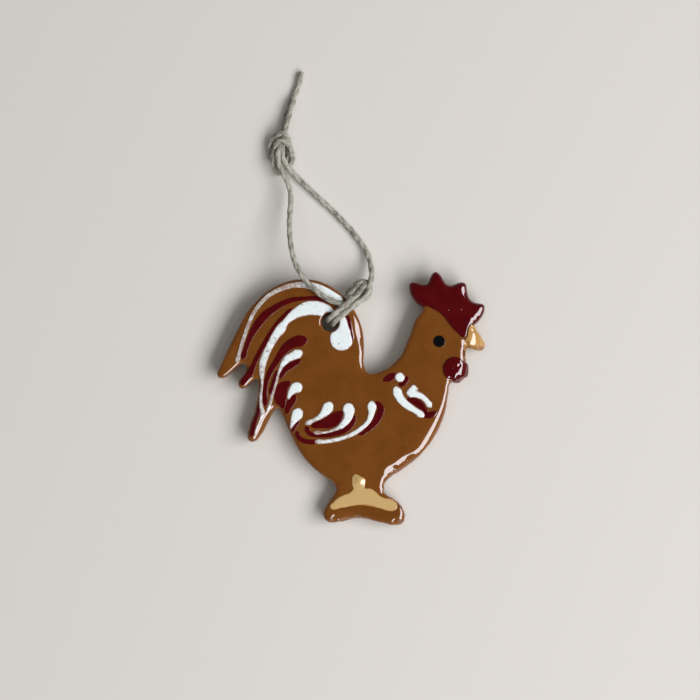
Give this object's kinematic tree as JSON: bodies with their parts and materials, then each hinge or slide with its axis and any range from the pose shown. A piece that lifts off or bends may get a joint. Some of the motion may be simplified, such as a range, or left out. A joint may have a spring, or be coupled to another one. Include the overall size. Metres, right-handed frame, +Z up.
{
  "type": "hanging rooster ornament",
  "caption": "Flat glazed earthenware rooster with trailed slip decoration, pierced at the tail and hung from a knotted twine loop.",
  "frame": {"origin": "on the table under the middle of the clay rooster", "axes": "+Z up out of the decorated face, +Y from the foot towards the comb and the hanging loop, +X from the tail towards the beak"},
  "size_m": [0.0667, 0.1149, 0.0088],
  "materials": {
    "glazed_clay": "clear glaze over caramel-brown earthenware, bare on the back",
    "white_slip": "trailed white slip under clear glaze",
    "red_slip": "dark red slip under clear glaze",
    "ochre_slip": "ochre slip under clear glaze",
    "cream_slip": "cream slip under clear glaze",
    "black_slip": "black slip under clear glaze",
    "twine": "undyed bast-fibre twine, slightly hairy"
  },
  "bodies": {
    "rooster": {"clay_plaque": "glazed_clay", "beak_slip": "ochre_slip", "foot_slip": "cream_slip", "eye_dot": "black_slip", "tail_rim_white_trail": "white_slip", "tail_broad_white_trail": "white_slip", "feather_white_comma": "white_slip", "tail_base_white_drop": "white_slip", "wing_white_comma_rear": "white_slip", "wing_white_comma_upper": "white_slip", "wing_white_comma_middle": "white_slip", "wing_white_comma_front": "white_slip", "saddle_white_teardrop": "white_slip", "breast_white_trail_rear": "white_slip", "breast_white_trail_front": "white_slip", "breast_white_dot": "white_slip", "comb_slip": "red_slip", "wattle_slip": "red_slip", "tail_outer_red_trail": "red_slip", "tail_middle_red_trail": "red_slip", "sickle_red_trail": "red_slip", "feather_red_trail": "red_slip", "feather_edge_red_trail": "red_slip", "tail_base_red_patch": "red_slip", "rear_red_blob": "red_slip", "comma_edge_red_trail": "red_slip", "wing_leaf_red_trail": "red_slip", "wing_middle_red_trail": "red_slip", "wing_front_red_trail": "red_slip", "wing_lower_red_trail": "red_slip", "saddle_edge_red_trail": "red_slip", "feather_tip_red_trail": "red_slip", "breast_red_dabs": "red_slip"},
    "hitch": {"rim_bight": "twine", "hitch_knot": "twine"},
    "loop": {"left_strand": "twine", "right_strand": "twine", "top_knot": "twine", "tag_end": "twine", "short_end": "twine"}
  },
  "joints": [
    {"name": "hanger_swing", "type": "hinge", "parent": "rooster", "child": "hitch", "pos_m": [-0.0051, 0.01909, 0.00155], "axis": [0, -0.0311, 0.9995], "range_deg": [-12, 12]},
    {"name": "loop_lift", "type": "hinge", "parent": "hitch", "child": "loop", "pos_m": [0.00085, 0.02609, 0.00624], "axis": [0.817, 0.4766, -0.3247], "range_deg": [0, 100]}
  ]
}
